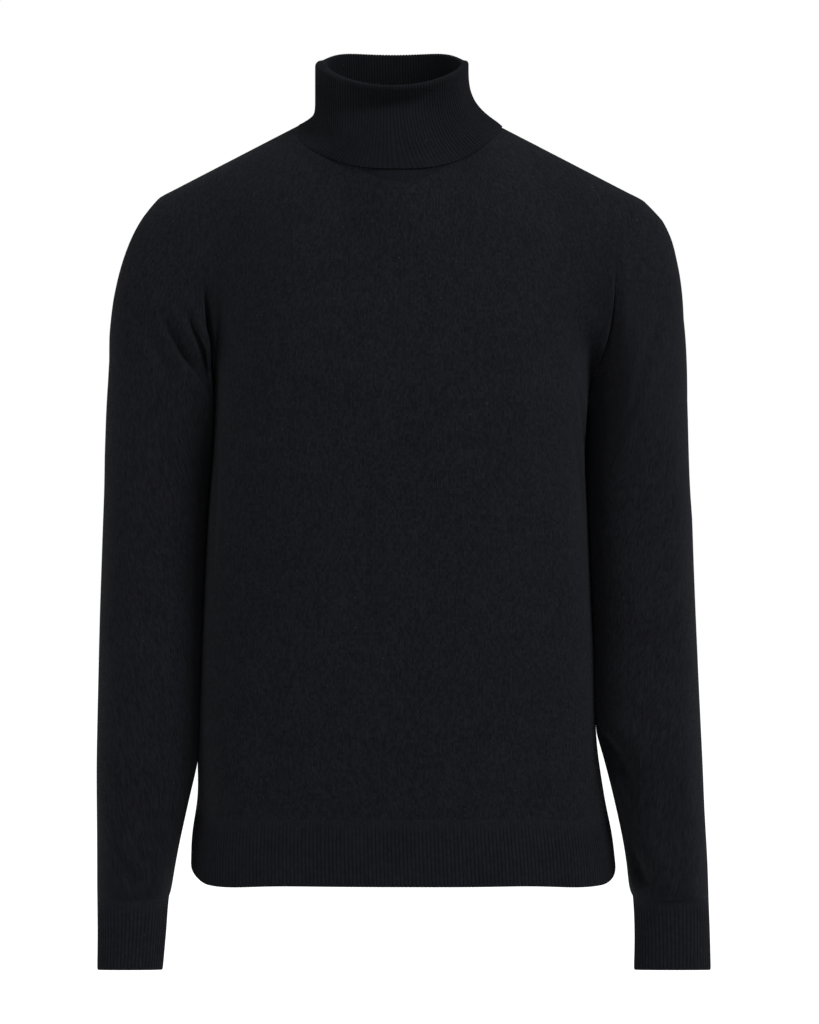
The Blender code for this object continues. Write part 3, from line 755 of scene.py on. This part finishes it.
def sleeve_ring(table, height, side, columns):
    """A level ring, from its innermost line round the back to the outermost and round the front again."""
    outer, inner = between(table, "outer", height), between(table, "inner", height)
    above = (height - CUFF_TOP) / 0.011
    blouse = BLOUSE[side] * above * math.exp(1 - above) if above > 0 else 0.0
    turn = np.linspace(math.pi, -math.pi, FINE + 1)
    sine, cosine = oval(turn, between(table, "square", height))
    swell = waves(SLEEVE_WAVES, turn * side, height) * smooth((CAP_END - height) / 0.06)
    swell = swell * smooth((height - CUFF_TOP) / 0.03)
    line = np.zeros((FINE + 1, 3))
    line[:, 0] = (outer + inner) / 2 + (outer - inner) / 2 * cosine
    line[:, 0] -= blouse * 0.4 * (cosine < 0) * cosine**2
    line[:, 0] += swell * cosine * 0.3
    depth = between(table, "depth", height) + blouse + swell
    line[:, 1] = between(table, "middle", height) + depth * sine
    line[:, 2] = height
    behind, ahead = line[: FINE // 2 + 1], line[FINE // 2 :]
    ring = np.concatenate([divide(behind, columns // 2), divide(ahead, columns // 2)[1:-1]])
    return ring * [side, 1, 1]


def beside_body(rows, side):
    """The sleeve pressed flat where it lies against the side of the body."""
    rows = rows.copy()
    for row in rows:
        height = row[0, 2]
        if height > UNDERARM_POINT[2] - 0.01 or height < -0.59:
            continue
        square = between(BODY, "square", height)
        front, back = between(BODY, "front", height), between(BODY, "back", height)
        reach = np.where(row[:, 1] < UNDERARM_POINT[1], front + UNDERARM_POINT[1], back - UNDERARM_POINT[1])
        ahead = np.clip(abs(row[:, 1] - UNDERARM_POINT[1]) / reach, 0, 0.999)
        edge = between(BODY, "half_width", height) * (1 - ahead**square) ** (1 / square)
        edge = edge + side * between(BODY, "sway", height) + BODY_CLEAR
        row[:, 0] = side * np.maximum(side * row[:, 0], edge)
    return rows


def sleeve(table, side, folds):
    """Rows from the armhole, on the edges of the front and back, down to the top of the cuff."""
    f_edge, f_in = (-1, -2) if side > 0 else (0, 1)
    b_edge, b_in = (0, 1) if side > 0 else (-1, -2)
    seam = np.concatenate([back_rows[LOW_ROWS:, b_edge], front_rows[LOW_ROWS + 1 : -1, f_edge][::-1]])
    within = np.concatenate([back_rows[LOW_ROWS:, b_in], front_rows[LOW_ROWS + 1 : -1, f_in][::-1]])
    face = np.where(np.arange(2 * HIGH_ROWS) <= HIGH_ROWS, 1.0, -1.0)
    way = crease_way(face, side)
    height = seam[:, 2].copy()
    at_seam = armhole_crease(height, face, side, np.zeros_like(height))[:, None] * way
    step = np.linalg.norm(seam - within, axis=1)
    seam = seam - at_seam
    within = within - armhole_crease(height, face, side, step / BODY_CREASE[side])[:, None] * way
    leave = unit(unit(seam - within) * [1, CAP_BACK, 1] - [0, 0, CAP_DROOP])
    ring = sleeve_ring(table, CAP_END, side, 2 * HIGH_ROWS)
    onward = unit(sleeve_ring(table, CAP_END - 0.01, side, 2 * HIGH_ROWS) - ring)
    reach = CAP_PULL * np.linalg.norm(ring - seam, axis=1, keepdims=True)
    steps = np.linspace(0, 1, CAP_ROWS + 1) ** 1.15
    cap = [hermite(seam, leave * reach, ring, onward * reach, t) for t in steps]
    heights = np.linspace(CAP_END, CUFF_TOP, ARM_ROWS + 1)[1:]
    arm = [sleeve_ring(table, height, side, 2 * HIGH_ROWS) for height in heights]
    rows = np.array(cap + arm)
    away = cloth_map(rows, True, 0)[:, :-1, 1]
    rows = beside_body(rows, side)
    rows += armhole_crease(height, face, side, away / SLEEVE_CREASE[side])[:, :, None] * way
    if side < 0:
        rows = np.roll(rows[:, ::-1], 1, axis=1)
    flat = cloth_map(rows, True, HIGH_ROWS)
    return folded(rows, flat, True, folds), flat


ARMS = (
    ("left_sleeve", "left_cuff", LEFT_SLEEVE, 1, LEFT_FOLDS),
    ("right_sleeve", "right_cuff", RIGHT_SLEEVE, -1, RIGHT_FOLDS),
)
for node, _, table, side, folds in ARMS:
    rows, flat = sleeve(table, side, folds)
    lift = seam_lift(rows, True, False)
    piece = make_cloth(node + "_knit", rows, flat, True, lift, JERSEY, (SEAM_GAP, KNIT_GAP))
    finish_piece(piece, node, jersey)

# ---------------------------------------------------------------- cuffs
# Each cuff is a band of the same rib, knitted in one with the sleeve and closed by the sleeve's seam.

CUFF_TILT = 0.11  # the front of the cuff's edge is a little higher than its back
CUFF_RIBS = 60
CUFF_PITCH = 0.0030

cuff_heights = band_heights(CUFF_TOP, CUFF_END)
cuff_rib = knit_material("black_cuff_rib", wale=CUFF_PITCH, course=0.0014, dark=WOOL_DARK,
                         light=(0.0147, 0.0153, 0.0197), groove_shade=0.42, uneven=0.6,
                         begin=CUFF_TOP - CUFF_END)
for _, node, table, side, _ in ARMS:
    rows = np.array([sleeve_ring(table, height, side, CUFF_RIBS * RIB_POINTS) for height in cuff_heights])
    behind = rows[:, :, 1] - rows[:, :, 1].mean(axis=1, keepdims=True)
    rows[:, :, 2] -= CUFF_TILT * behind * smooth((CUFF_TOP - cuff_heights) / 0.050)[:, None]
    if side > 0:
        rows = np.roll(rows[:, ::-1], 1, axis=1)
    lift = band_lift(CUFF_RIBS, True, cuff_heights, CUFF_TOP, CUFF_END)
    flat = rib_map(rows, CUFF_RIBS, CUFF_PITCH)
    band = make_cloth(node + "_band", rows, flat, True, lift, RIB, (0, KNIT_GAP))
    finish_piece(band, node, cuff_rib)

# ---------------------------------------------------------------- collar
# The collar is one tube of rib, linked to the neck and folded over outwards once. The layer that is turned
# down spreads over the shoulders and ends in a bound-off edge.

COLLAR_RIBS = 152
COLLAR_PITCH = 0.0030
COLLAR_KNIT = 0.0018  # thickness
Loop = namedtuple("Loop", "front back half_width side_height square")
CREST = Loop(np.array([-0.0070, -0.0830, 0.0350]), np.array([-0.0070, 0.0500, 0.0786]), 0.0645, 0.0650, 2.0)
EDGE = Loop(np.array([-0.0010, -0.1060, -0.0380]), np.array([0.0, 0.0810, 0.0010]), 0.0918, 0.0063, 2.35)
EDGE_THIN = 0.75  # how much of its thickness the turned-down edge loses at the sides
TURN_GAP = 0.0010  # width of the air inside the roll of the fold, at the back
TURN_FRONT = 0.0008  # and how much wider it is at the front, at the wearer's left and at the wearer's right
TURN_LEFT = 0.0016
TURN_RIGHT = 0.0062
STAND_SETTLE = 2.2  # how soon the hidden layer leans in from the seam to the fold
FLARE_MIDDLE = 2.6  # how late the turned-down layer spreads: in the middle, at the left and at the right
FLARE_LEFT = 3.4
FLARE_RIGHT = 12.0
SQUARE_EDGE = 1.3  # how square its edge is in front, and how much more so at the left than at the right
SLANT_EDGE = 0.5
EDGE_OFF = 0.0012  # between the turned-down edge and the cloth that it rests on
DEPTH_BLUR = 9  # how many columns even out the depth of the cloth below the edge, and its height
HEIGHT_BLUR = 14
BEHIND_SIDES = 0.4  # how far behind the sides the edge still takes its depth from the front
LOWER_FROM = 0.10  # how far forwards of the sides it is lowered in full, and then less
LOWER_FADE = 0.25
SLOUCH = 0.0128  # how far the front sinks in below the fold
SLOUCH_HEIGHT = 0.0115  # and how far below the fold it is deepest
SLOUCH_TURN = -0.22  # the sunken place is a little to the wearer's right
STAND_ROWS = 14
TURN_ROWS = 10
FALL_ROWS = 28


def loop_points(loop, turn):
    """Points round the neck, from the middle of the front at turn 0, towards the wearer's left."""
    side, ahead = oval(turn, loop.square)
    middle = (loop.front + loop.back) / 2
    line = middle + (loop.front - loop.back) / 2 * ahead[:, None]
    line[:, 0] += loop.half_width * side
    line[:, 2] += (loop.side_height - middle[2]) * side**2
    return line


def settled(t):
    """How far in the hidden layer has leaned at this part of its height."""
    return 1 - (1 - t) ** STAND_SETTLE


def round_blur(line, reach):
    """A closed line of values smoothed over its neighbours."""
    turns = np.tile(line, 3)[:, None]
    return blurred(turns, reach)[len(line) : 2 * len(line), 0]


def nearest(cloth, point, axes, value):
    """The cloth's value, averaged over its points that are nearest along two axes."""
    far = ((cloth[:, axes] - point[axes]) ** 2).sum(axis=1)
    return cloth[np.argpartition(far, 4)[:4], value].mean()


def resting(edge, ahead, stand):
    """The turned-down edge let down onto the cloth below it. In front it is moved back onto the panel or the
    stand at its own height, and over the shoulders and behind it is lowered onto the panels."""
    panels = np.concatenate([front_rows.reshape(-1, 3), back_rows.reshape(-1, 3)])
    below = np.concatenate([panels, np.array(stand).reshape(-1, 3)])
    below = below[below[:, 1] < NECK_POINT[1]]
    half = len(edge) // 2  # the front half of the edge comes first, from the right side to the left
    depth = [nearest(below, point, [0, 2], 1) for point in edge[1:half]]
    depth = np.array([depth[0], *depth, depth[-1]])
    depth = round_blur(np.concatenate([depth, depth[-2:0:-1]]), DEPTH_BLUR) - EDGE_OFF
    front = ahead > 0
    edge = edge.copy()
    side_depth = np.where(edge[:, 0] > 0, depth[half], depth[0])
    side_line = (EDGE.front[1] + EDGE.back[1]) / 2
    shift = (side_depth - side_line) * (1 - smooth(abs(ahead) / BEHIND_SIDES))
    edge[:, 1] = np.where(front, depth, edge[:, 1] + shift)
    top = round_blur(np.array([nearest(panels, point, [0, 1], 2) for point in edge]), HEIGHT_BLUR)
    over = np.where(front, 1 - smooth((ahead - LOWER_FROM) / LOWER_FADE), 1.0)
    edge[:, 2] += over * (top + EDGE_OFF - edge[:, 2])
    return edge


def collar_rows():
    """Rows of the hidden face: up the outside of the stand, over inside the fold, and down again."""
    turn = np.linspace(-math.pi / 2, 3 * math.pi / 2, COLLAR_RIBS * RIB_POINTS + 1)[:-1]
    sine = np.sin(turn)
    out = unit(np.stack([sine, -np.cos(turn), 0 * turn], axis=1))
    up = np.array([0, 0, 1])
    seam = neck_seam(np.where(turn > math.pi / 2, turn, abs(turn)))
    seam[:, 0] = NECK_POINT[0] * sine
    crest = loop_points(CREST, turn)
    level = CREST.back[2] - (CREST.back[2] - CREST.side_height) * abs(sine) ** 6
    crest[:, 2] += (level - crest[:, 2]) * smooth((0.4 - np.cos(turn)) / 0.8)
    wide = np.where(sine > 0, TURN_LEFT, TURN_RIGHT) * sine**2 + TURN_FRONT * np.clip(np.cos(turn), 0, 1)
    half = (TURN_GAP + wide * smooth((np.cos(turn) + 0.8) / 0.8))[:, None] / 2
    crest -= up * (COLLAR_KNIT + half)
    stand_top, fall_top = crest - out * half, crest + out * half
    edge = loop_points(EDGE, turn)
    ahead = np.clip(np.cos(turn), 0, 1)
    drop = (EDGE.front[2] - EDGE.side_height) * ahead ** (SQUARE_EDGE + SLANT_EDGE * sine)
    edge[:, 2] = np.where(ahead > 0, EDGE.side_height + drop, edge[:, 2])
    edge -= (out + up) * (1 - EDGE_THIN * abs(sine) ** 3)[:, None] * COLLAR_KNIT / math.sqrt(2)
    stand = [
        seam + (stand_top - seam) * np.array([settled(t), settled(t), t])
        for t in np.linspace(0, 1, STAND_ROWS + 1)
    ]
    fold = [
        crest + (up * math.sin(angle) - out * math.cos(angle)) * half
        for angle in np.linspace(0, math.pi, TURN_ROWS + 1)[1:]
    ]
    edge = resting(edge, np.cos(turn), stand)
    side_flare = np.where(sine > 0, FLARE_LEFT, FLARE_RIGHT)
    flare = FLARE_MIDDLE + (side_flare - FLARE_MIDDLE) * sine**2
    fall = []
    for step in np.linspace(0, 1, FALL_ROWS + 1)[1:]:
        down = math.sin(step * math.pi / 2)
        row = fall_top + (edge - fall_top) * down
        row[:, :2] = fall_top[:, :2] + (edge - fall_top)[:, :2] * (down ** flare)[:, None]
        fall.append(row)
    rows = np.array(stand + fold + fall)
    under = np.clip(crest[None, :, 2] - rows[:, :, 2], 0, 1) / SLOUCH_HEIGHT
    front = smooth((np.cos(turn - SLOUCH_TURN) - 0.25) / 0.6)
    rows[:, :, 1] += SLOUCH * under * np.exp(1 - under) * front
    return rows


# The collar is the same black wool as the rest; its darker colours are painted shade, which darkens the whole
# collar to deepen the shade below the fold.
collar_rib = knit_material("black_collar_rib", wale=COLLAR_PITCH, course=0.0014,
                           dark=(0.0043, 0.0045, 0.0059), light=(0.0098, 0.0103, 0.0134),
                           groove_shade=0.36, uneven=0.6)
rows = collar_rows()
# The ribs show on the face that is inside the neck and, past the fold, outside: the wall's lower face here.
show = COLLAR_KNIT + rib_lift(COLLAR_RIBS, True)[None] * np.ones((len(rows), 1))
side = abs(np.sin(np.linspace(-math.pi / 2, 3 * math.pi / 2, rows.shape[1] + 1)[:-1]))
near_edge = smooth((np.arange(len(rows)) - len(rows) + 9) / 8)[:, None]
show *= 1 - near_edge * (0.25 + (EDGE_THIN - 0.25) * side**3)
flat = rib_map(rows, COLLAR_RIBS, COLLAR_PITCH)
collar = make_cloth("collar", rows, flat, True, 0.0, show, (SEAM_GAP, 0))
finish_piece(collar, "roll_collar", collar_rib)

# ---------------------------------------------------------------- studio
# A pale floor well below the hanging garment, an even white surround, and two large soft lights in front.

FLOOR_HEIGHT = -1.05
FLOOR_RADIUS = 14.0
SURROUND_LIGHT = 0.34
CAMERA_AWAY = 3.2
CAMERA_SIDE = 0.00765
CAMERA_HEIGHT = -0.3393
LENS = 125.0

bpy.ops.mesh.primitive_circle_add(vertices=96, radius=FLOOR_RADIUS, fill_type="NGON")
floor = bpy.context.object
floor.name = "floor"
floor.location.z = FLOOR_HEIGHT
pale = bpy.data.materials.new("pale_floor")
pale.use_nodes = True
floor_shader = pale.node_tree.nodes["Principled BSDF"]
floor_shader.inputs["Base Color"].default_value = (0.90, 0.90, 0.90, 1.0)
floor_shader.inputs["Roughness"].default_value = 0.9
floor_shader.inputs["Specular IOR Level"].default_value = 0.0
floor_shader.inputs["Emission Color"].default_value = (1.0, 1.0, 1.0, 1.0)
floor_rays = add_node(pale.node_tree, "ShaderNodeLightPath")
glow = calculate(pale.node_tree, "MULTIPLY_ADD", floor_rays.outputs["Is Camera Ray"], 0.75, 0.05)
pale.node_tree.links.new(glow, floor_shader.inputs["Emission Strength"])
floor.data.materials.append(pale)

# The surround is white behind the garment, and lights it softly.
world = bpy.data.worlds.new("white surround")
bpy.context.scene.world = world
world.use_nodes = True
surround = world.node_tree
background = surround.nodes["Background"]
background.inputs["Color"].default_value = (1.0, 1.0, 1.0, 1.0)
rays = add_node(surround, "ShaderNodeLightPath")
seen = rays.outputs["Is Camera Ray"]
strength = calculate(surround, "MULTIPLY_ADD", seen, 1.0 - SURROUND_LIGHT, SURROUND_LIGHT)
surround.links.new(strength, background.inputs["Strength"])


def softbox(name, x, y, z, size, watts):
    data = bpy.data.lights.new(name, "AREA")
    data.size = size
    data.energy = watts
    light = bpy.data.objects.new(name, data)
    light.location = (x, y, z)
    aim = np.array([0.0, 0.0, CAMERA_HEIGHT]) - np.array([x, y, z])
    away = math.hypot(aim[0], aim[1])
    light.rotation_euler = (math.atan2(away, -aim[2]), 0.0, math.atan2(-aim[0], aim[1]))
    bpy.context.scene.collection.objects.link(light)


softbox("key", 2.0, -1.7, 2.1, 1.2, 84.0)
softbox("fill", -2.2, -1.6, 1.7, 1.4, 32.0)

camera_data = bpy.data.cameras.new("camera")
camera_data.lens = LENS
camera = bpy.data.objects.new("camera", camera_data)
camera.location = (CAMERA_SIDE, -CAMERA_AWAY, CAMERA_HEIGHT)
camera.rotation_euler = (math.pi / 2, 0.0, 0.0)
bpy.context.scene.collection.objects.link(camera)
bpy.context.scene.camera = camera
bpy.context.scene.view_settings.view_transform = "Standard"

bpy.context.view_layer.update()
